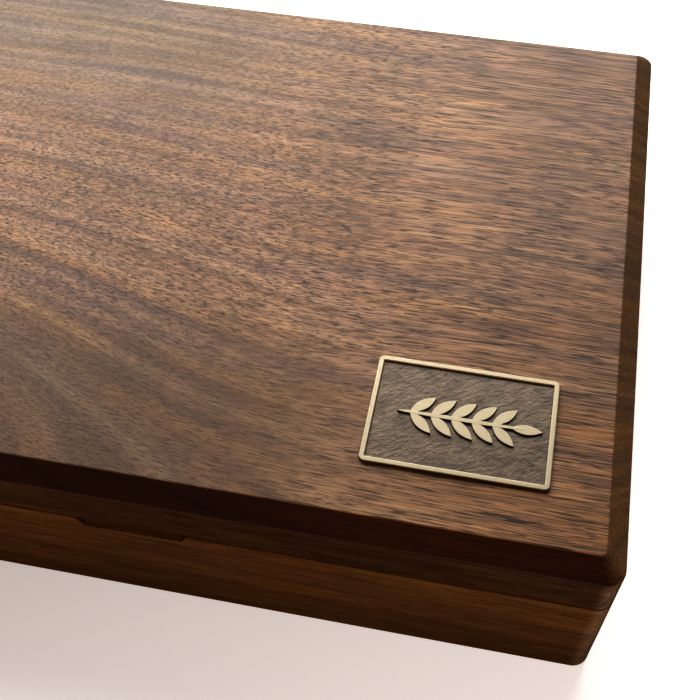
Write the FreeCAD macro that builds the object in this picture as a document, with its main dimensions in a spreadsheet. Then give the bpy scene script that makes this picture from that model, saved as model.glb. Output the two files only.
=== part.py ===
"""A hinged walnut keepsake box with rounded corners, a bevelled lid and a small cast plaque.

The base and the lid frame are rings of four mitred boards. The lid turns on two brass butt hinges,
and the bevelled back edges meet when it stands open. Lengths are millimetres; +Z is up, the front
faces -Y, and the origin is at the middle of the underside.
"""

import FreeCAD
import Part
import Sketcher
import math
import os

SIZES = {
    # the whole box
    "length": 255.0,
    "depth": 200.0,
    "corner_radius": 4.8,
    "top_corner_radius": 1.6,
    "wall": 12.0,
    # heights, from the underside up
    "base_height": 40.5,
    "rail_height": 14.5,
    "panel_edge": 5.0,
    "panel_tongue": 4.0,
    "panel_clearance": 0.1,
    # edges
    "bevel_width": 5.6,
    "bevel_height": 4.4,
    "bevel_ease": 0.7,
    "base_ease": 0.6,
    "lid_ease": 1.1,
    "foot_ease": 0.6,
    "inner_ease": 0.8,
    # the floor of the base
    "floor_thickness": 5.0,
    "floor_raise": 3.0,
    "groove_depth": 5.0,
    "groove_clearance": 0.15,
    "felt_thickness": 1.5,
    "felt_clearance": 0.5,
    # the finger notch under the lid's front edge
    "notch_length": 31.0,
    "notch_floor": 27.4,
    "notch_height": 3.4,
    "notch_depth": 2.6,
    "notch_lip": 0.5,
    "notch_round": 1.0,
    # the hinges and the bevelled back that stops the lid
    "open_angle": 95.0,
    "stop_clearance": 0.5,
    "hinge_inset": 48.0,
    "hinge_setback": 3.5,
    "hinge_length": 36.0,
    "leaf_reach": 8.0,
    "leaf_thickness": 1.2,
    "leaf_sink": 0.15,
    "leaf_clearance": 0.1,
    "knuckle_radius": 2.2,
    "knuckle_gap": 0.2,
    "knuckle_clearance": 0.25,
    "pin_radius": 1.0,
    "pin_clearance": 0.05,
    # the hinge screws
    "screw_pitch": 22.0,
    "screw_offset": 5.2,
    "screw_radius": 0.9,
    "screw_length": 8.0,
    "screw_head_radius": 1.9,
    "screw_cross": 2.4,
    "screw_cross_wide": 0.5,
    "screw_cross_deep": 0.6,
    "screw_clearance": 0.05,
    # the plaque
    "plaque_length": 49.0,
    "plaque_depth": 33.5,
    "plaque_side_margin": 20.7,
    "plaque_front_margin": 20.3,
    "plaque_radius": 1.6,
    "plaque_field": 0.3,
    "plaque_relief": 0.6,
    "plaque_rim": 1.45,
    "tape_thickness": 0.1,
    "tape_inset": 1.5,
    # the leaf sprig on the plaque
    "stem_length": 34.0,
    "stem_width": 1.3,
    "leaf_long": 8.4,
    "leaf_wide": 3.0,
    "leaf_lean": 42.0,
    "leaf_step": 5.4,
}
LEAF_PAIRS = 5
KNUCKLES = 3
SCREWS_PER_LEAF = 2
SIDES = {"left": -1, "right": 1}
REACH = 20.0  # how far a cutting tool runs past the wood

doc = FreeCAD.newDocument("keepsake_box")
sheet = doc.addObject("Spreadsheet::Sheet", "Sizes")
for row, (alias, number) in enumerate(SIZES.items(), start=1):
    sheet.set(f"A{row}", alias)
    sheet.set(f"B{row}", str(number))
    sheet.setAlias(f"B{row}", alias)
doc.recompute()


def size(alias):
    """The number that the sheet holds under an alias."""
    return float(sheet.get(alias))


def bind(thing, **expressions):
    """Ties properties to the sheet: a double underscore stands for a dot, and @ for the sheet's name."""
    for name, expression in expressions.items():
        thing.setExpression(name.replace("__", "."), expression.replace("@", "Sizes."))
    return thing


def place(thing, x="0", y="0", z="0"):
    """Ties a thing's place to the sheet."""
    return bind(thing, Placement__Base__x=x, Placement__Base__y=y, Placement__Base__z=z)


def box(name, length, width, height, x, y, z):
    """A block whose sizes and lowest corner are expressions."""
    block = doc.addObject("Part::Box", name)
    bind(block, Length=length, Width=width, Height=height)
    return place(block, x, y, z)


def cylinder(name, radius, height, x, y, z, along_x=True):
    """A rod that starts at a point and runs along +X, or up."""
    rod = doc.addObject("Part::Cylinder", name)
    bind(rod, Radius=radius, Height=height)
    if along_x:
        rod.Placement.Rotation = FreeCAD.Rotation(FreeCAD.Vector(0, 1, 0), 90)
    return place(rod, x, y, z)


def cut(name, base, tools):
    """What is left of a thing after tools are taken from it."""
    if len(tools) == 1:
        tool = tools[0]
    else:
        tool = doc.addObject("Part::MultiFuse", name + "_tools")
        tool.Shapes = tools
    result = doc.addObject("Part::Cut", name)
    result.Base = base
    result.Tool = tool
    return result


def fuse(name, things):
    """Several touching things as one solid."""
    result = doc.addObject("Part::MultiFuse", name)
    result.Shapes = things
    result.Refine = True
    return result


def named(thing, label):
    """Gives a finished sub-part its label."""
    thing.Label = label
    return thing


def plane_of(body, role):
    """One of a body's own origin planes."""
    return next(f for f in body.Origin.OriginFeatures if f.Role == role)


def sketch_at(body, name, height):
    """A level sketch in a body, at a height that is an expression."""
    sketch = body.newObject("Sketcher::SketchObject", name)
    sketch.AttachmentSupport = (plane_of(body, "XY_Plane"), [""])
    sketch.MapMode = "FlatFace"
    bind(sketch, AttachmentOffset__Base__z=height)
    return sketch


def constrain(sketch, kind, *arguments, named=None, expression=None):
    """Adds a constraint, with a name and an expression where it is a size."""
    index = sketch.addConstraint(Sketcher.Constraint(kind, *arguments))
    if named:
        sketch.renameConstraint(index, named)
        bind(sketch, **{f"Constraints__{named}": expression})


def rectangle(sketch, length, depth, radius=None):
    """A rectangle centred on the origin, with round corners where a radius is given."""
    half_x, half_y = 60.0, 45.0
    bow = 5.0 if radius else 0.0
    ends = [
        ((-half_x + bow, -half_y), (half_x - bow, -half_y)),
        ((half_x, -half_y + bow), (half_x, half_y - bow)),
        ((half_x - bow, half_y), (-half_x + bow, half_y)),
        ((-half_x, half_y - bow), (-half_x, -half_y + bow)),
    ]
    for start, end in ends:
        sketch.addGeometry(Part.LineSegment(FreeCAD.Vector(*start, 0), FreeCAD.Vector(*end, 0)))
    held_level = (2, 3) if radius else (0, 1, 2, 3)
    for line in held_level:
        constrain(sketch, "Vertical" if line % 2 else "Horizontal", line)
    for line in range(4):
        following = (line + 1) % 4
        if not radius:
            constrain(sketch, "Coincident", line, 2, following, 1)
            continue
        centre = FreeCAD.Vector(
            half_x - bow if line in (0, 1) else -half_x + bow,
            half_y - bow if line in (1, 2) else -half_y + bow,
            0,
        )
        circle = Part.Circle(centre, FreeCAD.Vector(0, 0, 1), bow)
        quarter = math.pi / 2
        arc = sketch.addGeometry(Part.ArcOfCircle(circle, (line - 1) * quarter, line * quarter))
        constrain(sketch, "Tangent", line, 2, arc, 1)
        constrain(sketch, "Tangent", arc, 2, following, 1)
        if line == 0:
            constrain(sketch, "Radius", arc, 5.0, named="radius", expression=radius)
        else:
            constrain(sketch, "Equal", 4, arc)
    if radius:
        constrain(sketch, "Symmetric", 0, 1, 0, 2, -2)
        constrain(sketch, "Symmetric", 1, 1, 1, 2, -1)
    else:
        constrain(sketch, "Symmetric", 0, 1, 1, 2, -1, 1)
    constrain(sketch, "Distance", 1, 1, 3, 2 * half_x, named="length", expression=length)
    constrain(sketch, "Distance", 0, 1, 2, 2 * half_y, named="depth", expression=depth)
    return sketch


def pad(body, sketch, height):
    """Raises a sketch by a height."""
    feature = body.newObject("PartDesign::Pad", sketch.Name + "_pad")
    feature.Profile = sketch
    return bind(feature, Length=height)


def pocket(body, sketch, depth, upwards=False):
    """Cuts a sketch downwards, or upwards, by a depth."""
    feature = body.newObject("PartDesign::Pocket", sketch.Name + "_pocket")
    feature.Profile = sketch
    feature.Reversed = upwards
    return bind(feature, Length=depth)


def picked_edges(body, chosen):
    """A body's tip, with the names of the edges that a test picks out."""
    doc.recompute()
    tip = body.Tip
    return tip, [f"Edge{n}" for n, edge in enumerate(tip.Shape.Edges, start=1) if chosen(edge.BoundBox)]


def ease(body, name, radius, chosen):
    """Rounds the edges that a test picks out."""
    picked = picked_edges(body, chosen)
    feature = body.newObject("PartDesign::Fillet", name)
    feature.Base = picked
    return bind(feature, Radius=radius)


def bevel(body, name, width, chosen):
    """Takes a small flat off the edges that a test picks out."""
    picked = picked_edges(body, chosen)
    feature = body.newObject("PartDesign::Chamfer", name)
    feature.Base = picked
    return bind(feature, Size=width)


def level(edges, height):
    """Whether an edge's box lies flat at a height."""
    return abs(edges.ZMin - height) < 1e-4 and abs(edges.ZMax - height) < 1e-4


def outside(edges):
    """Whether an edge's box reaches past the inner opening, onto the outer faces."""
    clear_x = size("length") / 2 - size("wall") / 2
    clear_y = size("depth") / 2 - size("wall") / 2
    return max(abs(edges.XMin), abs(edges.XMax)) > clear_x or max(abs(edges.YMin), abs(edges.YMax)) > clear_y


def frame_ring(name, bottom, height):
    """A round-cornered frame, as the four boards stand once glued: an outer block and its opening."""
    body = doc.addObject("PartDesign::Body", name)
    outline = rectangle(sketch_at(body, name + "_outline", bottom), "@length", "@depth", "@corner_radius")
    pad(body, outline, height)
    opening = sketch_at(body, name + "_opening", bottom)
    rectangle(opening, "@length - 2 * @wall", "@depth - 2 * @wall")
    pocket(body, opening, height, upwards=True)
    return body


def base_ring():
    """The base's frame, with a groove for the floor and eased edges."""
    body = frame_ring("base_ring", "0", "@base_height")
    groove = sketch_at(body, "floor_groove", "@floor_raise")
    across = "2 * @groove_depth - 2 * @wall"
    rectangle(groove, f"@length + {across}", f"@depth + {across}")
    pocket(body, groove, "@floor_thickness + @groove_clearance", upwards=True)
    top = size("base_height")
    ease(body, "seam_ease", "@base_ease", lambda e: level(e, top) and outside(e))
    bevel(body, "foot_bevel", "@foot_ease", lambda e: level(e, 0) and outside(e))
    bevel(body, "mouth_bevel", "@inner_ease", lambda e: level(e, top) and not outside(e))
    return body


def lid_ring():
    """The lid's frame, with eased lower edges."""
    body = frame_ring("lid_ring", "@base_height", "@rail_height")
    bottom = size("base_height")
    ease(body, "lip_ease", "@lid_ease", lambda e: level(e, bottom) and outside(e))
    bevel(body, "lip_bevel", "@inner_ease", lambda e: level(e, bottom) and not outside(e))
    return body


AXIS_Y = "@depth / 2 - @hinge_setback"
AXIS_Z = "@base_height"
BEVEL_ANGLE = "@open_angle / 2 + @stop_clearance"


def back_bevel(name, upper):
    """The wedge taken off a back edge from the hinge line outwards, so that the lid can swing and stop."""
    tool = box(
        name,
        f"@length + {2 * REACH}",
        str(REACH),
        str(REACH),
        f"-@length / 2 - {REACH}",
        AXIS_Y,
        AXIS_Z,
    )
    tool.Placement.Rotation = FreeCAD.Rotation(FreeCAD.Vector(1, 0, 0), 1)
    turn = f"{BEVEL_ANGLE} - 90" if upper else f"-({BEVEL_ANGLE})"
    bind(tool, Placement__Rotation__Angle=turn)
    return tool


def corner_sector(name, along, across, bottom, height, turned):
    """The wedge-ended slice of a frame that one board takes: its ends are the mitre planes."""
    sector = doc.addObject("Part::Wedge", name)
    bind(
        sector,
        Xmin=f"-{along} / 2 - {REACH}",
        Xmax=f"{along} / 2 + {REACH}",
        X2min=f"-{along} / 2 + @wall * 1.5",
        X2max=f"{along} / 2 - @wall * 1.5",
        Ymin=f"-{across} / 2 - {REACH}",
        Ymax=f"-{across} / 2 + @wall * 1.5",
        Zmin=f"{bottom} - {REACH}",
        Z2min=f"{bottom} - {REACH}",
        Zmax=f"{bottom} + {height} + {REACH}",
        Z2max=f"{bottom} + {height} + {REACH}",
    )
    sector.Placement.Rotation = FreeCAD.Rotation(FreeCAD.Vector(0, 0, 1), turned)
    return sector


def boards(prefix, ring, bottom, height):
    """The four mitred boards of a frame, by side."""
    sides = {
        "front": ("@length", "@depth", 0),
        "right": ("@depth", "@length", 90),
        "back": ("@length", "@depth", 180),
        "left": ("@depth", "@length", 270),
    }
    made = {}
    for side, (along, across, turned) in sides.items():
        sector = corner_sector(f"{prefix}_{side}_sector", along, across, bottom, height, turned)
        board = doc.addObject("Part::MultiCommon", f"{prefix}_{side}_board")
        board.Shapes = [ring, sector]
        made[side] = board
    return made


def hinge_x(side):
    """The middle of a hinge, as an expression."""
    sign = "" if SIDES[side] > 0 else "-"
    return f"{sign}(@length / 2 - @hinge_inset)"


def screw_places():
    """The middle of each screw along its leaf, from the hinge's middle, as expressions."""
    middle = (SCREWS_PER_LEAF - 1) / 2
    return [f"{n - middle} * @screw_pitch" for n in range(SCREWS_PER_LEAF)]


def hinge_pockets(prefix, side, upper):
    """What is cut from the wood for one leaf: a mortise, a trough for the barrel, and pilot holes."""
    x = hinge_x(side)
    name = f"{prefix}_{side}_hinge"
    deep = "(@leaf_thickness + @leaf_sink)"
    bottom = AXIS_Z if upper else f"{AXIS_Z} - {deep}"
    mortise = box(
        name + "_mortise",
        "@hinge_length + 2 * @leaf_clearance",
        "@leaf_reach + @leaf_clearance",
        deep,
        f"{x} - @hinge_length / 2 - @leaf_clearance",
        f"{AXIS_Y} - @leaf_reach - @leaf_clearance",
        bottom,
    )
    trough = cylinder(
        name + "_trough",
        "@knuckle_radius + @knuckle_clearance",
        "@hinge_length + 2 * @knuckle_clearance",
        f"{x} - @hinge_length / 2 - @knuckle_clearance",
        AXIS_Y,
        AXIS_Z,
    )
    holes = []
    for number, offset in enumerate(screw_places()):
        start = AXIS_Z if upper else f"{AXIS_Z} - @screw_length - @leaf_sink"
        hole = cylinder(
            f"{name}_pilot_{number}",
            "@screw_radius + @screw_clearance",
            "@screw_length + @leaf_sink",
            f"{x} + {offset}",
            f"{AXIS_Y} - @screw_offset",
            start,
            along_x=False,
        )
        holes.append(hole)
    return [mortise, trough, *holes]


def finger_notch():
    """The scoop that a fingertip takes under the lid: raked ends, a short lip and a back that slopes in."""
    blank = doc.addObject("Part::Wedge", "finger_notch_blank")
    bind(
        blank,
        Xmin="-@notch_floor / 2",
        Xmax="@notch_floor / 2",
        X2min="-@notch_length / 2",
        X2max="@notch_length / 2",
        Ymin="0",
        Ymax="@notch_height",
        Zmin="@notch_depth - @notch_lip",
        Z2min="0",
        Zmax=f"@notch_depth + {REACH}",
        Z2max=f"@notch_depth + {REACH}",
    )
    blank.Placement.Rotation = FreeCAD.Rotation(FreeCAD.Vector(1, 0, 0), 90)
    place(blank, y="-@depth / 2 + @notch_depth", z="@base_height - @notch_height")
    doc.recompute()
    floor = size("base_height") - size("notch_height")
    rounded = doc.addObject("Part::Fillet", "finger_notch_tool")
    rounded.Base = blank
    picked = []
    for number, edge in enumerate(blank.Shape.Edges, start=1):
        bounds = edge.BoundBox
        runs_in = bounds.YLength > bounds.XLength
        at_back = bounds.YMin > -size("depth") / 2
        if level(bounds, floor) and (runs_in or at_back):
            picked.append((number, size("notch_round"), size("notch_round")))
    rounded.Edges = picked
    return rounded


def leaf_knuckles(upper):
    """Which of the barrel's knuckles belong to a leaf, counted from the left."""
    return [n for n in range(KNUCKLES) if (n % 2 == 1) == upper]


def knuckle_rod(name, x, number, radius, spare):
    """One knuckle's stretch of the barrel, longer at both ends by a spare length."""
    pitch = f"(@hinge_length / {KNUCKLES})"
    start = f"{x} - @hinge_length / 2 + {number} * {pitch} + @knuckle_gap / 2 - {spare}"
    return cylinder(name, radius, f"{pitch} - @knuckle_gap + 2 * {spare}", start, AXIS_Y, AXIS_Z)


def hinge_leaf(side, upper):
    """A hinge leaf: a plate with rolled knuckles, a bore for the pin and countersunk holes."""
    place_word = "lid" if upper else "base"
    label = f"hinge_{side}_{place_word}_leaf"
    x = hinge_x(side)
    bottom = f"{AXIS_Z} + @leaf_sink" if upper else f"{AXIS_Z} - @leaf_sink - @leaf_thickness"
    plate = box(
        label + "_plate",
        "@hinge_length",
        "@leaf_reach",
        "@leaf_thickness",
        f"{x} - @hinge_length / 2",
        f"{AXIS_Y} - @leaf_reach",
        bottom,
    )
    relief = [
        knuckle_rod(
            f"{label}_relief_{n}",
            x,
            n,
            "@knuckle_radius + @knuckle_clearance",
            "@knuckle_gap",
        )
        for n in leaf_knuckles(not upper)
    ]
    notched = cut(label + "_notched", plate, relief)
    rods = [knuckle_rod(f"{label}_knuckle_{n}", x, n, "@knuckle_radius", "0") for n in leaf_knuckles(upper)]
    blank = fuse(label + "_blank", [notched, *rods])
    bore = cylinder(
        label + "_bore",
        "@pin_radius + @pin_clearance",
        "@hinge_length + 2",
        f"{x} - @hinge_length / 2 - 1",
        AXIS_Y,
        AXIS_Z,
    )
    holes = []
    for number, offset in enumerate(screw_places()):
        holes.append(countersink(f"{label}_hole_{number}", f"{x} + {offset}", upper))
    leaf = cut(label, blank, [bore, *holes])
    leaf.Label = label
    return leaf


def countersink(name, x, upper):
    """A screw's cone through a leaf, wide at the face that the two leaves share."""
    cone = doc.addObject("Part::Cone", name)
    bind(
        cone,
        Radius1="@screw_radius + @screw_clearance",
        Radius2="@screw_head_radius + @screw_clearance",
        Height="@leaf_thickness",
    )
    if upper:
        cone.Placement.Rotation = FreeCAD.Rotation(FreeCAD.Vector(1, 0, 0), 180)
    back = f"{AXIS_Z} {'+' if upper else '-'} (@leaf_sink + @leaf_thickness)"
    return place(cone, x, f"{AXIS_Y} - @screw_offset", back)


def hinge_pin(side):
    """A hinge pin, flush with the ends of the barrel."""
    label = f"hinge_{side}_pin"
    start = f"{hinge_x(side)} - @hinge_length / 2"
    return named(cylinder(label, "@pin_radius", "@hinge_length", start, AXIS_Y, AXIS_Z), label)


def screw_shape():
    """One cross-head countersunk screw with a blunt end, the top of its head at the origin."""
    head, shank = size("screw_head_radius"), size("screw_radius")
    reach = size("screw_length")
    profile = Part.makePolygon(
        [
            FreeCAD.Vector(0, 0, 0),
            FreeCAD.Vector(head, 0, 0),
            FreeCAD.Vector(shank, 0, -size("leaf_thickness")),
            FreeCAD.Vector(shank, 0, -reach),
            FreeCAD.Vector(0, 0, -reach),
            FreeCAD.Vector(0, 0, 0),
        ]
    )
    solid = Part.Face(profile).revolve(FreeCAD.Vector(), FreeCAD.Vector(0, 0, 1), 360)
    long, wide, deep = size("screw_cross"), size("screw_cross_wide"), size("screw_cross_deep")
    arm = Part.makeBox(long, wide, deep, FreeCAD.Vector(-long / 2, -wide / 2, -deep))
    crossing = Part.makeBox(wide, long, deep, FreeCAD.Vector(-wide / 2, -long / 2, -deep))
    return solid.cut(arm.fuse(crossing).removeSplitter())


def hinge_screws(label, upper):
    """All the screws of the base's leaves, or of the lid's, as separate solids in one node."""
    along = size("length") / 2 - size("hinge_inset")
    y = size("depth") / 2 - size("hinge_setback") - size("screw_offset")
    face = size("base_height") + (size("leaf_sink") if upper else -size("leaf_sink"))
    turn = FreeCAD.Rotation(FreeCAD.Vector(1, 0, 0), 180 if upper else 0)
    middle = (SCREWS_PER_LEAF - 1) / 2
    screws = []
    for sign in SIDES.values():
        for number in range(SCREWS_PER_LEAF):
            x = sign * along + (number - middle) * size("screw_pitch")
            screw = screw_shape()
            screw.Placement = FreeCAD.Placement(FreeCAD.Vector(x, y, face), turn)
            screws.append(screw)
    node = doc.addObject("Part::Feature", label)
    node.Shape = Part.makeCompound(screws)
    node.Label = label
    return node


def base_walls():
    """The base's four boards: the front has the finger notch and the back carries the hinges."""
    ring = cut("base_ring_bevelled", base_ring(), [back_bevel("base_back_bevel", upper=False)])
    wall = boards("base", ring, "0", "@base_height")
    pockets = [tool for side in SIDES for tool in hinge_pockets("base", side, upper=False)]
    return [
        named(cut("base_front_wall", wall["front"], [finger_notch()]), "base_front_wall"),
        named(cut("base_back_wall", wall["back"], pockets), "base_back_wall"),
        named(wall["left"], "base_left_wall"),
        named(wall["right"], "base_right_wall"),
    ]


def lid_rails():
    """The lid's four boards; the back one carries the hinges."""
    ring = cut("lid_ring_bevelled", lid_ring(), [back_bevel("lid_back_bevel", upper=True)])
    rail = boards("lid", ring, "@base_height", "@rail_height")
    pockets = [tool for side in SIDES for tool in hinge_pockets("lid", side, upper=True)]
    return [
        named(rail["front"], "lid_front_rail"),
        named(cut("lid_back_rail", rail["back"], pockets), "lid_back_rail"),
        named(rail["left"], "lid_left_rail"),
        named(rail["right"], "lid_right_rail"),
    ]


def lid_top_panel():
    """The lid's top board: a tongue inside the frame, a thin square edge, and a bevel all round."""
    body = doc.addObject("PartDesign::Body", "lid_top_panel")
    seat = "@base_height + @rail_height"
    edge = sketch_at(body, "panel_outline", seat)
    rectangle(edge, "@length", "@depth", "@corner_radius")
    pad(body, edge, "@panel_edge - @bevel_height")
    low = sketch_at(body, "bevel_foot", f"{seat} + @panel_edge - @bevel_height")
    rectangle(low, "@length", "@depth", "@corner_radius")
    high = sketch_at(body, "bevel_head", f"{seat} + @panel_edge")
    inset = "- 2 * @bevel_width"
    rectangle(high, f"@length {inset}", f"@depth {inset}", "@top_corner_radius")
    doc.recompute()
    slope = body.newObject("PartDesign::AdditiveLoft", "panel_bevel")
    slope.Profile = low
    slope.Sections = [high]
    slope.Ruled = True
    top = size("base_height") + size("rail_height") + size("panel_edge")
    ease(body, "bevel_ease", "@bevel_ease", lambda e: level(e, top))
    tongue = sketch_at(body, "panel_tongue_outline", f"{seat} - @panel_tongue")
    across = "- 2 * @wall - 2 * @panel_clearance"
    rectangle(tongue, f"@length {across}", f"@depth {across}")
    pad(body, tongue, "@panel_tongue")
    return named(body, "lid_top_panel")


def floor_panel():
    """The base's floor, held in the groove of all four walls."""
    body = doc.addObject("PartDesign::Body", "base_floor_panel")
    outline = sketch_at(body, "floor_outline", "@floor_raise")
    across = "2 * @groove_depth - 2 * @wall - 2 * @groove_clearance"
    rectangle(outline, f"@length + {across}", f"@depth + {across}")
    pad(body, outline, "@floor_thickness")
    return named(body, "base_floor_panel")


def floor_felt():
    """The felt that lines the floor."""
    body = doc.addObject("PartDesign::Body", "floor_felt")
    outline = sketch_at(body, "felt_outline", "@floor_raise + @floor_thickness")
    across = "- 2 * @wall - 2 * @felt_clearance"
    rectangle(outline, f"@length {across}", f"@depth {across}")
    pad(body, outline, "@felt_thickness")
    return named(body, "floor_felt")


PLAQUE_X = "@length / 2 - @plaque_side_margin - @plaque_length / 2"
PLAQUE_Y = "-@depth / 2 + @plaque_front_margin + @plaque_depth / 2"
LID_TOP = "@base_height + @rail_height + @panel_edge"


def plaque_tape():
    """The adhesive sheet that holds the plaque."""
    body = doc.addObject("PartDesign::Body", "plaque_tape")
    outline = sketch_at(body, "tape_outline", "0")
    rectangle(outline, "@plaque_length - 2 * @tape_inset", "@plaque_depth - 2 * @tape_inset")
    pad(body, outline, "@tape_thickness")
    place(body, PLAQUE_X, PLAQUE_Y, LID_TOP)
    return named(body, "plaque_tape")


def pointed_leaf(long, wide, high):
    """A leaf with two pointed ends along X: what two round discs share."""
    radius = (long**2 + wide**2) / (4 * wide)
    offset = radius - wide / 2
    discs = [Part.makeCylinder(radius, high, FreeCAD.Vector(0, side * offset, 0)) for side in (-1, 1)]
    return discs[0].common(discs[1])


def sprig(high):
    """A stem with pairs of leaves, raised from the plaque's field; its middle is at the origin."""
    shape = pointed_leaf(size("stem_length"), size("stem_width"), high)
    long, lean = size("leaf_long"), size("leaf_lean")
    middle = (LEAF_PAIRS - 1) / 2
    for number in range(LEAF_PAIRS):
        for side in (-1, 1):
            leaf = pointed_leaf(long, size("leaf_wide"), high)
            leaf.translate(FreeCAD.Vector(long / 2, 0, 0))
            leaf.rotate(FreeCAD.Vector(), FreeCAD.Vector(0, 0, 1), side * lean)
            leaf.translate(FreeCAD.Vector((number - middle) * size("leaf_step") - long / 3, 0, 0))
            shape = shape.fuse(leaf)
    tip = pointed_leaf(long, size("leaf_wide"), high)
    tip.translate(FreeCAD.Vector(size("stem_length") / 2, 0, 0))
    return shape.fuse(tip).removeSplitter()


def plaque():
    """The plaque: a plate whose field is sunk inside a raised rim, with a raised leaf sprig."""
    body = doc.addObject("PartDesign::Body", "plaque_plate")
    outline = sketch_at(body, "plaque_outline", "0")
    rectangle(outline, "@plaque_length", "@plaque_depth", "@plaque_radius")
    pad(body, outline, "@plaque_field + @plaque_relief")
    field = sketch_at(body, "plaque_field_outline", "@plaque_field")
    rectangle(field, "@plaque_length - 2 * @plaque_rim", "@plaque_depth - 2 * @plaque_rim")
    pocket(body, field, "@plaque_relief", upwards=True)
    place(body, PLAQUE_X, PLAQUE_Y, f"{LID_TOP} + @tape_thickness")
    motif = doc.addObject("Part::Feature", "plaque_sprig")
    motif.Shape = sprig(size("plaque_relief"))
    place(motif, PLAQUE_X, PLAQUE_Y, f"{LID_TOP} + @tape_thickness + @plaque_field")
    return named(fuse("plaque", [body, motif]), "plaque")


def hinges():
    """Both hinges' leaves and pins."""
    made = []
    for side in SIDES:
        made += [hinge_leaf(side, upper=False), hinge_leaf(side, upper=True), hinge_pin(side)]
    return made


sub_parts = [
    *base_walls(),
    floor_panel(),
    floor_felt(),
    *lid_rails(),
    lid_top_panel(),
    *hinges(),
    hinge_screws("base_hinge_screws", upper=False),
    hinge_screws("lid_hinge_screws", upper=True),
    plaque_tape(),
    plaque(),
]
doc.recompute()

faulty = [thing.Label for thing in doc.Objects if {"Invalid", "Error"} & set(thing.State)]
faulty += [part.Label for part in sub_parts if part.Shape.isNull() or not part.Shape.isValid()]
if faulty:
    raise RuntimeError(f"these objects failed: {faulty}")

os.makedirs("parts", exist_ok=True)
for part in sub_parts:
    part.Shape.exportStep(f"parts/{part.Label}.step")
    print(f"{part.Label}: {len(part.Shape.Solids)} solids, {part.Shape.Volume:.1f} mm3")
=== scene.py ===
# %% [markdown]
# A hinged walnut keepsake box, dressed for a portrait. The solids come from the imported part, already in
# their places and in metres, so this script gives them finishes, and remakes the two pieces that a plain
# solid can't show well: the cast plaque on the lid and the felt on the floor. Keeping the solids fixed
# means that the looks, the drawings and the moving model always agree.

import math

import bmesh
import bpy
from mathutils import Matrix, Vector


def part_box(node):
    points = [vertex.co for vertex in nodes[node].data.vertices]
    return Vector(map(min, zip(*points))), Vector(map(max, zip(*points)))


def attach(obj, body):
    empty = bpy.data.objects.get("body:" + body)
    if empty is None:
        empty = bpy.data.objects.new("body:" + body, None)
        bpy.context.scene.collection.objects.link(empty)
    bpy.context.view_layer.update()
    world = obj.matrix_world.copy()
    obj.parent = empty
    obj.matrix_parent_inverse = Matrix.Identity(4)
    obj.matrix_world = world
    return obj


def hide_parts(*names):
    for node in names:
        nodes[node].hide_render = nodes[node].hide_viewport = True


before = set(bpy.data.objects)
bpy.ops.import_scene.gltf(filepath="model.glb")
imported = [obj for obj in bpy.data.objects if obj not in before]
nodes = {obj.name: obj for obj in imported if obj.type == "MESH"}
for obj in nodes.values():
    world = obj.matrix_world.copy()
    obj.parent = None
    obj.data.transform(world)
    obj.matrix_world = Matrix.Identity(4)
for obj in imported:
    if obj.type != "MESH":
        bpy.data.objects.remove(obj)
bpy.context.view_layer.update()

MM = 0.001


# %% [markdown]
# Every finish below is a small graph of shader nodes. Building one takes three habits: make a node,
# set its values, join its sockets. A short helper for those keeps each recipe readable, and a second one
# makes a colour ramp, the tool that turns a grey pattern into a range of real colours.

# %% Helpers for shader graphs
def new_material(name, **sockets):
    """A material with one shader whose sockets hold plain values; returns it, its graph and its shader."""
    material = bpy.data.materials.new(name)
    material.use_nodes = True
    graph = material.node_tree
    shader = graph.nodes["Principled BSDF"]
    for socket, value in sockets.items():
        shader.inputs[socket.replace("_", " ")].default_value = value
    return material, graph, shader


def add(graph, kind, inputs=None, **settings):
    """A node whose inputs are values, or the outputs of other nodes."""
    made = graph.nodes.new(kind)
    for name, value in settings.items():
        setattr(made, name, value)
    for socket, value in (inputs or {}).items():
        if isinstance(value, bpy.types.NodeSocket):
            graph.links.new(value, made.inputs[socket])
        else:
            made.inputs[socket].default_value = value
    return made


def maths(graph, operation, first, second=0.0):
    """The result of one sum on two numbers or outputs."""
    return add(graph, "ShaderNodeMath", {0: first, 1: second}, operation=operation).outputs[0]


def vector_maths(graph, operation, first, second):
    """The result of one sum on two vectors or outputs."""
    return add(graph, "ShaderNodeVectorMath", {0: first, 1: second}, operation=operation).outputs[0]


def ramp(graph, factor, *stops):
    """A colour ramp over (place, colour) stops."""
    made = add(graph, "ShaderNodeValToRGB", {"Fac": factor})
    elements = made.color_ramp.elements
    while len(elements) < len(stops):
        elements.new(0.5)
    for element, (place, colour) in zip(elements, stops):
        element.position = place
        element.color = (*colour, 1.0)
    return made.outputs["Color"]


def grey(level):
    """A neutral colour of one level."""
    return (level, level, level)


def blend(graph, mode, amount, under, over):
    """One colour laid over another."""
    made = add(graph, "ShaderNodeMix", data_type="RGBA", blend_type=mode)
    sockets = {0: amount, 6: under, 7: over}
    for socket, value in sockets.items():
        if isinstance(value, bpy.types.NodeSocket):
            graph.links.new(value, made.inputs[socket])
        else:
            made.inputs[socket].default_value = value
    return made.outputs[2]


def noise(graph, vector, scale, detail=2.0, roughness=0.5):
    """A cloudy pattern in space, as a grey value."""
    inputs = {"Vector": vector, "Scale": scale, "Detail": detail, "Roughness": roughness}
    return add(graph, "ShaderNodeTexNoise", inputs).outputs["Fac"]


def stretched(graph, vector, along, across):
    """Space squeezed so that a pattern on it runs long one way: fibres, pores and scratches."""
    return vector_maths(graph, "MULTIPLY", vector, (along, across, across))


def object_place(graph):
    """Where a point lies on its own object, in metres."""
    return add(graph, "ShaderNodeTexCoord").outputs["Object"]


def split(graph, vector):
    """The X, Y and Z of a vector."""
    return add(graph, "ShaderNodeSeparateXYZ", {"Vector": vector}).outputs


print("helpers ready")


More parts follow.
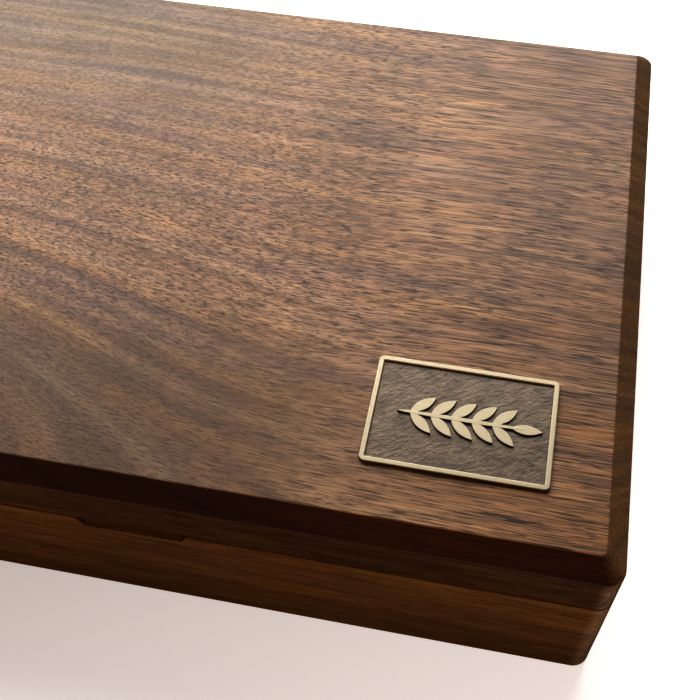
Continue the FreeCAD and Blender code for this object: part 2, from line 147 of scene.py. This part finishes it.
# %% [markdown]
# Walnut is a solid material, so its figure should run through each board and come out on every face.
# A picture wrapped round the box would show seams at the bevels; a pattern in space does not. The recipe
# follows the tree. Rings are distances from a pith that lies below the board. Where the fibres dive
# through the face, the pores are cut short and the rings arch; where they run level, both draw out into
# long streaks. So one bent space drives all of it, and each pattern below is laid on that space.

# %% Walnut, part one: the bent space of a board
def eased(graph, value, low, high, at_low, at_high):
    """A smooth step from one number to another as a value goes from low to high."""
    inputs = {"Value": value, "From Min": low, "From Max": high, "To Min": at_low, "To Max": at_high}
    return add(graph, "ShaderNodeMapRange", inputs, interpolation_type="SMOOTHSTEP").outputs["Result"]


def board_space(graph, board, pith, slope, plunge, swerve):
    """Grain space and ring space: X runs with the fibres, Y across them or out from the pith.

    slope is how steeply the fibres sink towards +X. plunge is (where, how fast) they bend down on the
    -X side. swerve is how far they drift sideways in the front left quarter.
    """
    waves = {"Vector": stretched(graph, board, 9.0, 16.0), "Scale": 1.0, "Detail": 1.5}
    waves = add(graph, "ShaderNodeTexNoise", waves).outputs["Color"]
    sway = vector_maths(graph, "MULTIPLY", waves, (0.0, 0.006, 0.006))
    bent = split(graph, vector_maths(graph, "ADD", board, sway))
    left = eased(graph, bent["X"], -0.09, 0.05, swerve, 0.0)
    front = eased(graph, bent["Y"], -0.09, 0.07, 1.0, 0.0)
    across = maths(graph, "SUBTRACT", bent["Y"], maths(graph, "MULTIPLY", left, front))

    start, speed = plunge
    short_of = maths(graph, "MAXIMUM", maths(graph, "SUBTRACT", start, bent["X"]), 0.0)
    fall = maths(graph, "MULTIPLY", maths(graph, "MULTIPLY", short_of, short_of), speed)
    level = maths(graph, "ADD", bent["Z"], maths(graph, "MULTIPLY", bent["X"], slope))
    level = maths(graph, "SUBTRACT", level, fall)
    grain = add(graph, "ShaderNodeCombineXYZ", {"X": bent["X"], "Y": across, "Z": level}).outputs[0]

    from_pith = vector_maths(graph, "SUBTRACT", grain, (0.0, *pith))
    spoke = vector_maths(graph, "MULTIPLY", from_pith, (0.0, 1.0, 1.0))
    ring = add(graph, "ShaderNodeVectorMath", {0: spoke}, operation="LENGTH").outputs["Value"]
    rings = add(graph, "ShaderNodeCombineXYZ", {"X": bent["X"], "Y": ring, "Z": 0.0}).outputs[0]
    return grain, rings


print("grain space ready")


# %% [markdown]
# The colour is laid down in the order that a tree makes it: rings first, as bands from umber to tan that
# drift in hue, with a few darker veins; then fibres, fine streaks that lighten and darken; then pores,
# which show as short dark dashes. The number called calm draws every contrast in, for the quieter boards.

# %% Walnut, part two: rings, fibres and pores
UMBER = Vector((0.188, 0.107, 0.067))
BROWN = Vector((0.272, 0.151, 0.084))
TAN = Vector((0.378, 0.223, 0.119))
PORE = Vector((0.036, 0.018, 0.012))


def ring_colours(graph, rings, tint, calm):
    """Bands of colour that follow the growth rings."""
    umber, brown, tan = (BROWN.lerp(shade, calm) * Vector(tint) for shade in (UMBER, BROWN, TAN))
    bands = noise(graph, stretched(graph, rings, 10.0, 260.0), 1.0, 3.0, 0.6)
    colour = ramp(graph, bands, (0.30, umber), (0.46, brown), (0.66, tan))
    drift = noise(graph, stretched(graph, rings, 14.0, 120.0), 1.0, 1.0)
    hues = ramp(graph, drift, (0.35, (0.95, 0.98, 1.10)), (0.65, (1.05, 1.0, 0.84)))
    colour = blend(graph, "MULTIPLY", 0.8 * calm, colour, hues)
    veins = noise(graph, stretched(graph, rings, 5.0, 75.0), 1.0, 1.0)
    veins = ramp(graph, veins, (0.29, (0.66, 0.66, 0.70)), (0.40, grey(1.0)))
    return blend(graph, "MULTIPLY", 0.35 * calm, colour, veins)


def fibres_and_pores(graph, grain, colour, tint, openness):
    """Streaks and short dark dashes along the grain; returns the colour and the height of the surface."""
    fibres = noise(graph, stretched(graph, grain, 36.0, 1600.0), 1.0, 2.5, 0.6)
    streaks = ramp(graph, fibres, (0.36, grey(0.50)), (0.62, grey(1.40)))
    colour = blend(graph, "MULTIPLY", maths(graph, "MULTIPLY", openness, 0.85), colour, streaks)
    pores = noise(graph, stretched(graph, grain, 75.0, 2400.0), 1.0, 2.0, 0.6)
    pores = ramp(graph, pores, (0.545, grey(0.0)), (0.590, grey(1.0)))
    shade = maths(graph, "MULTIPLY", maths(graph, "MULTIPLY", pores, openness), 0.9)
    colour = blend(graph, "MIX", shade, colour, (*(PORE * Vector(tint)), 1.0))
    return colour, maths(graph, "SUBTRACT", maths(graph, "MULTIPLY", fibres, 0.5), pores)


print("rings, fibres and pores ready")


# %% [markdown]
# Two things are left for the boards. No board is one tone from end to end, so broad soft zones darken or
# lighten parts of it, and several of them are painted light and shade: the sheen across the top, the shade
# at the base's foot and the highlight on the front boards' rounded ends. And a slanted cut, such as the
# lid's bevel or the finger notch, is painted dark as painted shade, a little less so across the ends of the
# fibres. Painting a mask by hand would do, but the way a face points already tells which cut it is, and it
# stays right if sizes change.

# %% Walnut, part three: whole boards
SATIN = 0.46  # roughness of an oiled face
DRY = 0.9  # roughness of a slanted cut
CLOSED_IN_CUTS = 0.6  # share of the pores that oil fills on a slanted cut


def zone(graph, spread):
    """How far into a soft zone a point lies; spread says where it begins and is full, for each axis."""
    place = split(graph, object_place(graph))
    depth = 1.0
    for axis, (begins, full) in spread.items():
        depth = maths(graph, "MULTIPLY", eased(graph, place[axis], begins, full, 0.0, 1.0), depth)
    return depth


def painted_cut_shade(graph, facing, colour, slanted):
    """Darkens slanted cuts with painted shade, less so where they cross the ends of the fibres."""
    endwise = eased(graph, maths(graph, "ABSOLUTE", facing["X"]), 0.25, 0.55, 0.0, 1.0)
    cut = blend(graph, "MIX", endwise, (0.20, 0.10, 0.065, 1.0), (0.66, 0.63, 0.46, 1.0))
    return blend(graph, "MULTIPLY", slanted, colour, cut)


def walnut(
    name, turn=0.0, shift=(0.0, 0.0, 0.0), pith=(-0.3, -0.2), slope=0.03, plunge=(-9.0, 0.0), swerve=0.0,
    tint=(1.0, 1.0, 1.0), shine=0.25, calm=1.0, zones=(), faint=(), cuts=None,
):
    """Oiled walnut, its grain along X or turned about Z; pith is its place across and up.

    zones tint soft parts of the board, several of them with painted light and shade, faint thins its pores
    in others, and cuts says how dark a face goes for each tilt, as painted shade.
    """
    material, graph, shader = new_material(name, Roughness=SATIN, Specular_IOR_Level=shine)
    mapping = {"Vector": object_place(graph), "Location": shift, "Rotation": (0.0, 0.0, turn)}
    board = add(graph, "ShaderNodeMapping", mapping).outputs["Vector"]
    grain, rings = board_space(graph, board, pith, slope, plunge, swerve)
    facing = split(graph, add(graph, "ShaderNodeTexCoord").outputs["Normal"])
    openness = calm
    for spread, level in faint:
        closed = maths(graph, "MULTIPLY", zone(graph, spread), level)
        openness = maths(graph, "MULTIPLY", openness, maths(graph, "SUBTRACT", 1.0, closed))
    if cuts:
        tilt = maths(graph, "ABSOLUTE", facing["Z"])
        slanted = ramp(graph, tilt, *[(place, grey(level)) for place, level in cuts])
        closed = maths(graph, "MULTIPLY", slanted, CLOSED_IN_CUTS)
        openness = maths(graph, "MULTIPLY", openness, maths(graph, "SUBTRACT", 1.0, closed))
    colour = ring_colours(graph, rings, tint, calm)
    colour, height = fibres_and_pores(graph, grain, colour, tint, openness)
    figure = noise(graph, stretched(graph, board, 30.0, 12.0), 1.0, 2.0, 0.5)
    patches = ramp(graph, figure, (0.30, grey(0.80)), (0.70, grey(1.18)))
    colour = blend(graph, "MULTIPLY", 0.7 * calm, colour, patches)
    # Soft zones tint the colour; several are painted light and shade: the top's sheen, the shade at the
    # base's foot and the highlight on rounded ends.
    for spread, shade in zones:
        colour = blend(graph, "MULTIPLY", zone(graph, spread), colour, (*shade, 1.0))
    # Slanted cuts are painted dark: painted shade.
    if cuts:
        colour = painted_cut_shade(graph, facing, colour, slanted)
        graph.links.new(eased(graph, slanted, 0.0, 1.0, SATIN, DRY), shader.inputs["Roughness"])
    graph.links.new(colour, shader.inputs["Base Color"])
    bump = add(graph, "ShaderNodeBump", {"Height": height, "Strength": 0.2, "Distance": 0.0002})
    graph.links.new(bump.outputs["Normal"], shader.inputs["Normal"])
    return material


print("walnut recipe ready")


# %% [markdown]
# Each board gets its own piece of the pattern, as boards from one plank would. The top shows the arch of the
# rings and a swerve in its front left quarter. The rails and walls are darker, calmer and turned so that
# their grain runs along them. The base is painted darker towards its foot as painted shade, the side boards
# are paler in painted light, and the rounded ends of the front boards carry a painted highlight.

# %% Walnut on every board
def finish_with(material, *names):
    """Gives a finish to solids by name."""
    for name in names:
        solid = nodes[name].data
        solid.materials.clear()
        solid.materials.append(material)


QUARTER = math.pi / 2
# Painted shade: the base is darker towards its foot.
FOOT_PAINTED_SHADE = ({"Z": (0.038, 0.004)}, (0.66, 0.66, 0.66))
RIGHT_END = {"X": (0.1215, 0.1245)}
LEFT_END = {"X": (-0.1215, -0.1245)}
# Painted highlight on the rounded ends of the front boards.
RAIL_END_HIGHLIGHT = (2.4, 3.2, 4.3)
WALL_END_HIGHLIGHT = (1.55, 2.0, 3.1)
# Tilts at which slanted faces are painted dark, as painted shade: the walls' eased edges and finger notch,
# and the lid's bevels.
EASED_EDGES = ((0.25, 0.0), (0.42, 0.6), (0.65, 0.6), (0.85, 0.0))
BEVELS = ((0.80, 1.0), (0.96, 0.0))

# The side boards' paler, cooler tint against the darker front and back tints is painted light and shade: lit
# sides, shaded front and back.
SIDE_RAIL = {"tint": (0.34, 0.38, 0.48), "shine": 0.0, "calm": 0.6}
SIDE_WALL = {"tint": (0.46, 0.50, 0.58), "shine": 0.0, "calm": 0.5, "zones": [FOOT_PAINTED_SHADE], "cuts": EASED_EDGES}
RAIL = SIDE_RAIL | {"tint": (0.19, 0.192, 0.203)}
WALL = SIDE_WALL | {"tint": (0.366, 0.372, 0.285)}
FRONT_RAIL = RAIL | {"zones": [(RIGHT_END, RAIL_END_HIGHLIGHT), (LEFT_END, RAIL_END_HIGHLIGHT)]}
FRONT_WALL = WALL | {"zones": [FOOT_PAINTED_SHADE, (RIGHT_END, WALL_END_HIGHLIGHT), (LEFT_END, WALL_END_HIGHLIGHT)]}
FRONT_LEFT = {"X": (0.085, 0.025), "Y": (-0.028, -0.065)}
BACK_LEFT = {"X": (0.050, -0.030), "Y": (0.000, 0.060)}
TOP_FAINT = [(FRONT_LEFT, 0.5), (BACK_LEFT, 0.45)]
# Soft zones on the top: the front left darker; the right end, from the middle back, darker and warmer; the
# back left paler and bluer, a painted sheen from the window behind; the front right warmer, the other end of
# that painted sheen.
TOP_TONES_AND_SHEEN = [
    (FRONT_LEFT, (0.55, 0.565, 0.56)),
    ({"X": (0.055, 0.105), "Y": (-0.080, -0.020)}, (0.76, 0.73, 0.68)),
    ({"X": (0.070, -0.060), "Y": (0.015, 0.075)}, (0.74, 0.85, 0.93)),
    ({"X": (0.050, 0.095), "Y": (-0.025, -0.080)}, (0.90, 0.84, 0.67)),
]
top = walnut(
    "walnut top", pith=(-0.105, 0.013), plunge=(0.08, 0.95), swerve=0.02,
    zones=TOP_TONES_AND_SHEEN, faint=TOP_FAINT, cuts=BEVELS,
)
finish_with(top, "lid_top_panel")
finish_with(walnut("walnut lid front", shift=(0.31, 0.04, 0.11), **FRONT_RAIL), "lid_front_rail")
finish_with(walnut("walnut lid back", shift=(0.57, 0.2, 0.05), **RAIL), "lid_back_rail")
lid_sides = walnut("walnut lid sides", QUARTER, (0.2, 0.1, 0.3), **SIDE_RAIL)
finish_with(lid_sides, "lid_left_rail", "lid_right_rail")
finish_with(walnut("walnut base front", shift=(0.9, 0.3, 0.21), **FRONT_WALL), "base_front_wall")
finish_with(walnut("walnut base back", shift=(1.3, 0.1, 0.4), **WALL), "base_back_wall")
base_sides = walnut("walnut base sides", QUARTER, (0.6, 0.5, 0.2), **SIDE_WALL)
finish_with(base_sides, "base_left_wall", "base_right_wall")
finish_with(walnut("floor board", shift=(2.0, 0.7, 0.0)), "base_floor_panel")
print("walnut on", sum(n.startswith(("lid_", "base_")) and "screws" not in n for n in nodes), "solids")


# %% [markdown]
# The hinges are small extruded brass. Real ones are brushed along their length and handled often, so the
# metal is satin, not mirror bright. Fine stretched noise in the roughness gives that brushing for free,
# with no need to model scratches.

# %% Hinge brass
def brushed_brass(name, colour, rough):
    """Satin brass, brushed along X."""
    material, graph, shader = new_material(name, Base_Color=(*colour, 1.0), Metallic=1.0)
    place = object_place(graph)
    brushing = noise(graph, stretched(graph, place, 60.0, 2500.0), 1.0, 2.0)
    spread = ramp(graph, brushing, (0.3, grey(rough - 0.07)), (0.7, grey(rough + 0.07)))
    graph.links.new(spread, shader.inputs["Roughness"])
    return material


hinge_brass = brushed_brass("hinge brass", (0.78, 0.56, 0.25), 0.34)
finish_with(hinge_brass, *[n for n in nodes if n.startswith("hinge_")])
finish_with(brushed_brass("screw brass", (0.80, 0.60, 0.30), 0.26), "base_hinge_screws", "lid_hinge_screws")
print("brass on", sum(n.startswith("hinge_") for n in nodes), "hinge pieces")


# %% [markdown]
# The plaque is held by a clear adhesive film. It only shows as a thin line under the plaque's edge, so
# a plain pale finish is enough.

# %% Adhesive film
film, _, _ = new_material("adhesive film", Base_Color=(0.35, 0.31, 0.25, 1.0), Roughness=0.4)
finish_with(film, "plaque_tape")
print("film on the plaque's back")


# %% [markdown]
# The plaque is a small casting: a plate with a raised rim and a raised leaf sprig, darkened all over and
# then rubbed bright on its high parts. A bmesh can follow the same order. Start from a block, round its
# upright corners, sink the field with two insets, then ease the rim's edges. The CAD solid has the same
# form with sharp edges; this piece stands in for it so that light can catch on the eased ones.

# %% Plaque plate
def object_from(build, name, *materials):
    """Turns a finished bmesh into an object at the origin with its materials."""
    bmesh.ops.recalc_face_normals(build, faces=build.faces)
    mesh = bpy.data.meshes.new(name)
    build.to_mesh(mesh)
    build.free()
    for material in materials:
        mesh.materials.append(material)
    made = bpy.data.objects.new(name, mesh)
    bpy.context.collection.objects.link(made)
    return made


PLAQUE_LOW, PLAQUE_HIGH = (Vector(corner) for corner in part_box("plaque"))
PLAQUE_CORNER = 1.6 * MM
RIM_WIDTH = 1.45 * MM
RELIEF = 0.6 * MM
RIM_EASE = 0.22 * MM
WALL_LEAN = 0.1 * MM
SAME_HEIGHT = 1e-7
SHARP = 0.5  # radians between two faces


def face_at_top(build):
    """The flat face that lies highest."""
    return max(build.faces, key=lambda face: (round(face.calc_center_median().z, 7), face.calc_area()))


def block_between(low, high):
    """A bmesh block between two corners."""
    build = bmesh.new()
    bmesh.ops.create_cube(build, size=1.0)
    bmesh.ops.scale(build, vec=high - low, verts=build.verts)
    bmesh.ops.translate(build, vec=(low + high) / 2, verts=build.verts)
    return build


build = block_between(PLAQUE_LOW, PLAQUE_HIGH)
uprights = [e for e in build.edges if abs(e.verts[0].co.z - e.verts[1].co.z) > RELIEF]
bmesh.ops.bevel(
    build, geom=uprights, offset=PLAQUE_CORNER, affect="EDGES", segments=6, profile=0.5, material=-1
)
field = face_at_top(build)
bmesh.ops.inset_region(build, faces=[field], thickness=RIM_WIDTH, use_even_offset=True)
bmesh.ops.remove_doubles(build, verts=build.verts, dist=WALL_LEAN)
field = face_at_top(build)
bmesh.ops.inset_region(build, faces=[field], thickness=WALL_LEAN, depth=-RELIEF, use_even_offset=True)
rim_edges = [
    e for e in build.edges
    if all(abs(v.co.z - PLAQUE_HIGH.z) < SAME_HEIGHT for v in e.verts)
    and abs(e.calc_face_angle(0.0)) > SHARP
]
bmesh.ops.bevel(build, geom=rim_edges, offset=RIM_EASE, affect="EDGES", segments=3, profile=0.5, material=-1)
print("plaque plate:", len(build.faces), "faces, rim edges eased:", len(rim_edges))


# %% [markdown]
# The sprig sits on the field: a stem, pairs of leaves that lean forward, and one leaf at the tip. A leaf
# starts as a disc. Drawing its sides in by the square of the distance from the middle gives two points,
# as two crossing arcs do, and extruding and easing it gives a soft cast edge. All leaves are one shape.

# %% Plaque sprig
STEM_LENGTH, STEM_WIDTH = 34.0 * MM, 1.3 * MM
LEAF_LENGTH, LEAF_WIDTH = 8.4 * MM, 3.0 * MM
LEAF_HEIGHT = 0.95 * RELIEF
LEAF_EASE = 0.12 * MM
LEAF_LEAN = math.radians(42.0)
LEAF_STEP = 5.4 * MM
LEAF_PAIRS = 5


def raised_leaf(build, length, width, height, place, fullness=1.0):
    """Adds a two-pointed leaf and moves it into place; a lower fullness makes its ends blunter."""
    disc = bmesh.ops.create_circle(build, cap_ends=True, segments=28, radius=1.0)["verts"]
    for vert in disc:
        across = math.copysign(max(1.0 - vert.co.x**2, 0.0) ** fullness, vert.co.y)
        vert.co = Vector((vert.co.x * length / 2, across * width / 2, 0.0))
    faces = list({f for v in disc for f in v.link_faces})
    raised = bmesh.ops.extrude_face_region(build, geom=faces)["geom"]
    top = [part for part in raised if isinstance(part, bmesh.types.BMVert)]
    bmesh.ops.translate(build, vec=(0.0, 0.0, height), verts=top)
    edges = list({e for v in top for e in v.link_edges if all(w in top for w in e.verts)})
    rounded = bmesh.ops.bevel(
        build, geom=edges, offset=LEAF_EASE, affect="EDGES", segments=2, profile=0.5, material=-1,
        clamp_overlap=True,
    )
    whole = {v for v in disc if v.is_valid} | {v for v in top if v.is_valid} | set(rounded["verts"])
    bmesh.ops.transform(build, matrix=place, verts=list(whole))


field_middle = (PLAQUE_LOW + PLAQUE_HIGH) / 2
field_middle.z = PLAQUE_HIGH.z - RELIEF
on_field = Matrix.Translation(field_middle)
raised_leaf(build, STEM_LENGTH, STEM_WIDTH, RELIEF, on_field, fullness=0.4)
at_tip = on_field @ Matrix.Translation((STEM_LENGTH / 2, 0.0, 0.0))
raised_leaf(build, LEAF_LENGTH, LEAF_WIDTH, LEAF_HEIGHT, at_tip)
for number in range(LEAF_PAIRS):
    root = (number - (LEAF_PAIRS - 1) / 2) * LEAF_STEP - LEAF_LENGTH / 3
    for side in (-1, 1):
        lean = Matrix.Rotation(side * LEAF_LEAN, 4, "Z") @ Matrix.Translation((LEAF_LENGTH / 2, 0.0, 0.0))
        at_root = on_field @ Matrix.Translation((root, 0.0, 0.0))
        raised_leaf(build, LEAF_LENGTH, LEAF_WIDTH, LEAF_HEIGHT, at_root @ lean)
print("sprig:", 2 + 2 * LEAF_PAIRS, "raised forms")


# %% [markdown]
# Two finishes share the casting. The dark one fills the field and the walls: an uneven, leathery patina.
# The bright one is what rubbing leaves on the high faces. Choosing by each face's height and tilt puts
# the line between them exactly where a polishing pad would.

# %% Plaque finishes
def patina():
    """Dark bronze with a leathery surface."""
    material, graph, shader = new_material("dark patina", Metallic=0.75, Roughness=0.42)
    place = object_place(graph)
    cloud = noise(graph, place, 200.0, 3.0, 0.6)
    tones = ramp(graph, cloud, (0.32, (0.076, 0.059, 0.045)), (0.68, (0.128, 0.099, 0.071)))
    graph.links.new(tones, shader.inputs["Base Color"])
    turned = {"Vector": place, "Rotation": (0.0, 0.0, -0.6)}
    slanted = add(graph, "ShaderNodeMapping", turned).outputs["Vector"]
    wrinkles = noise(graph, stretched(graph, slanted, 600.0, 950.0), 1.0, 4.0, 0.65)
    bump = add(graph, "ShaderNodeBump", {"Height": wrinkles, "Strength": 0.6, "Distance": 0.0003})
    graph.links.new(bump.outputs["Normal"], shader.inputs["Normal"])
    return material


def rubbed_brass():
    """Pale satin brass with fine random rubbing."""
    brass = (0.335, 0.285, 0.198, 1.0)
    material, graph, shader = new_material("rubbed brass", Base_Color=brass, Metallic=0.6)
    place = object_place(graph)
    rubbing = ramp(graph, noise(graph, place, 1500.0, 2.0), (0.3, grey(0.36)), (0.7, grey(0.50)))
    graph.links.new(rubbing, shader.inputs["Roughness"])
    return material


BRIGHT = 1
for face in build.faces:
    high = face.calc_center_median().z > PLAQUE_HIGH.z - RIM_EASE
    face.material_index = BRIGHT if high and face.normal.z > 0.3 else 0
plaque = object_from(build, "cast_plaque", patina(), rubbed_brass())
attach(plaque, "lid")
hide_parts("plaque")
print("plaque:", len(plaque.data.polygons), "faces")


# %% [markdown]
# The floor is lined with one laid sheet of felt. Felt has no weave, so it is a soft, slightly uneven
# slab: a grid given thickness, with small hollows pressed into it and a fuzzy sheen.

# %% Felt lining
FELT_LOW, FELT_HIGH = (Vector(corner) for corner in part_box("floor_felt"))
FELT_SIZE = FELT_HIGH - FELT_LOW
HALF_HOLLOW = 0.12 * MM
FELT_SPARE = 0.3 * MM  # how much thinner than the solid, so that the hollows stay inside it

build = bmesh.new()
bmesh.ops.create_grid(build, x_segments=46, y_segments=35, size=0.5)
bmesh.ops.scale(build, vec=(FELT_SIZE.x, FELT_SIZE.y, 1.0), verts=build.verts)
bmesh.ops.translate(build, vec=(*((FELT_LOW + FELT_HIGH) / 2).xy, FELT_HIGH.z), verts=build.verts)
for vert in build.verts:
    press = math.sin(vert.co.x * 70.0) * math.sin(vert.co.y * 90.0 + vert.co.x * 30.0)
    vert.co.z -= HALF_HOLLOW * (1.0 + press)
bmesh.ops.recalc_face_normals(build, faces=build.faces)
bmesh.ops.solidify(build, geom=list(build.faces), thickness=FELT_SIZE.z - FELT_SPARE)
felt_cloth, graph, shader = new_material(
    "dark felt", Roughness=0.95, Specular_IOR_Level=0.1, Sheen_Weight=0.35
)
fuzz = noise(graph, object_place(graph), 1600.0, 4.0, 0.7)
greys = ramp(graph, fuzz, (0.3, (0.062, 0.078, 0.068)), (0.7, (0.140, 0.170, 0.150)))
graph.links.new(greys, shader.inputs["Base Color"])
bump = add(graph, "ShaderNodeBump", {"Height": fuzz, "Strength": 0.5, "Distance": 0.0004})
graph.links.new(bump.outputs["Normal"], shader.inputs["Normal"])
felt = object_from(build, "felt_lining", felt_cloth)
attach(felt, "base")
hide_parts("floor_felt")
print("felt:", [round(v, 4) for v in FELT_SIZE])


# %% [markdown]
# The portrait is taken from above the front right corner, close enough that the left and back of the box
# run out of the frame. A camera could be steered by hand until edges line up. Here its place, aim, roll
# and lens were fitted to the box's corners instead, so the edges lie where they should all at once. It
# has no shift, so the other views keep the same framing.

# %% Camera
EYE = Vector((0.08435, -0.21572, 0.30061))
AIM = Vector((0.04921, -0.04563, 0.06000))
ROLL = math.radians(-0.76)
LENS = 55.47

camera_data = bpy.data.cameras.new("portrait")
camera_data.sensor_width = 36.0
camera_data.lens = LENS
camera = bpy.data.objects.new("portrait", camera_data)
bpy.context.collection.objects.link(camera)
look = (AIM - EYE).to_track_quat("-Z", "Y").to_matrix().to_4x4()
camera.matrix_world = Matrix.Translation(EYE) @ look @ Matrix.Rotation(ROLL, 4, "Z")
bpy.context.scene.camera = camera
print("camera right", [round(v, 4) for v in camera.matrix_world.col[0]])


# %% [markdown]
# The box stands on white paper that gets brighter away to the right and behind, until it is pure white.
# More lamps could light it, but they would spill on the box as well. A soft glow in the paper's own
# shader, rising along one slanted line, leaves the light on the box alone.

# %% Floor
floor_mesh = bpy.data.meshes.new("floor")
build = bmesh.new()
bmesh.ops.create_grid(build, x_segments=1, y_segments=1, size=3.0)
build.to_mesh(floor_mesh)
build.free()
floor = bpy.data.objects.new("floor", floor_mesh)
bpy.context.collection.objects.link(floor)
paper, graph, shader = new_material("lit white paper", Base_Color=(0.80, 0.78, 0.77, 1.0), Roughness=0.9)
shader.inputs["Emission Color"].default_value = (0.965, 0.925, 0.92, 1.0)
spot = split(graph, object_place(graph))
rise = {"Value": maths(graph, "SUBTRACT", spot["X"], maths(graph, "MULTIPLY", spot["Y"], 1.2))}
rise |= {"From Min": 0.03, "From Max": 0.32, "To Min": 0.495, "To Max": 0.85}
glow = add(graph, "ShaderNodeMapRange", rise).outputs["Result"]
graph.links.new(glow, shader.inputs["Emission Strength"])
floor_mesh.materials.append(paper)
print("floor at the underside")


# %% [markdown]
# One large window behind the box rakes across the lid and leaves the front in shade. A faint card above
# shows in the plaque's metal, and a low warm fill in front keeps the shaded boards brown, not black. Area
# lamps suit all three, because a wide source gives soft edges to its shadows and highlights. A lower
# display gamma deepens the dark tones, as a contrasty print does.

# %% Light
def softbox(name, at, towards, width, height, watts, colour=(1.0, 1.0, 1.0)):
    """A rectangular lamp that faces a point."""
    lamp = bpy.data.lights.new(name, "AREA")
    lamp.shape = "RECTANGLE"
    lamp.size = width
    lamp.size_y = height
    lamp.energy = watts
    lamp.color = colour
    made = bpy.data.objects.new(name, lamp)
    made.location = at
    made.rotation_euler = (Vector(towards) - Vector(at)).to_track_quat("-Z", "Y").to_euler()
    bpy.context.collection.objects.link(made)


softbox("window behind", (-0.25, 0.80, 0.65), (0.0, -0.02, 0.06), 1.6, 0.9, 34.8)
softbox("card above", (0.08, 0.27, 0.57), (0.08, -0.06, 0.06), 0.40, 0.25, 0.06)
softbox("warm fill in front", (0.05, -1.1, 0.16), (0.0, -0.1, 0.03), 1.2, 0.3, 7.0, (1.0, 0.50, 0.06))
world = bpy.data.worlds.new("room")
world.use_nodes = True
world.node_tree.nodes["Background"].inputs["Color"].default_value = (1.0, 0.97, 0.95, 1.0)
world.node_tree.nodes["Background"].inputs["Strength"].default_value = 0.08
bpy.context.scene.world = world
bpy.context.scene.view_settings.view_transform = "Standard"
bpy.context.scene.view_settings.gamma = 0.7
print("lit by a window behind, a card above and a warm fill in front")
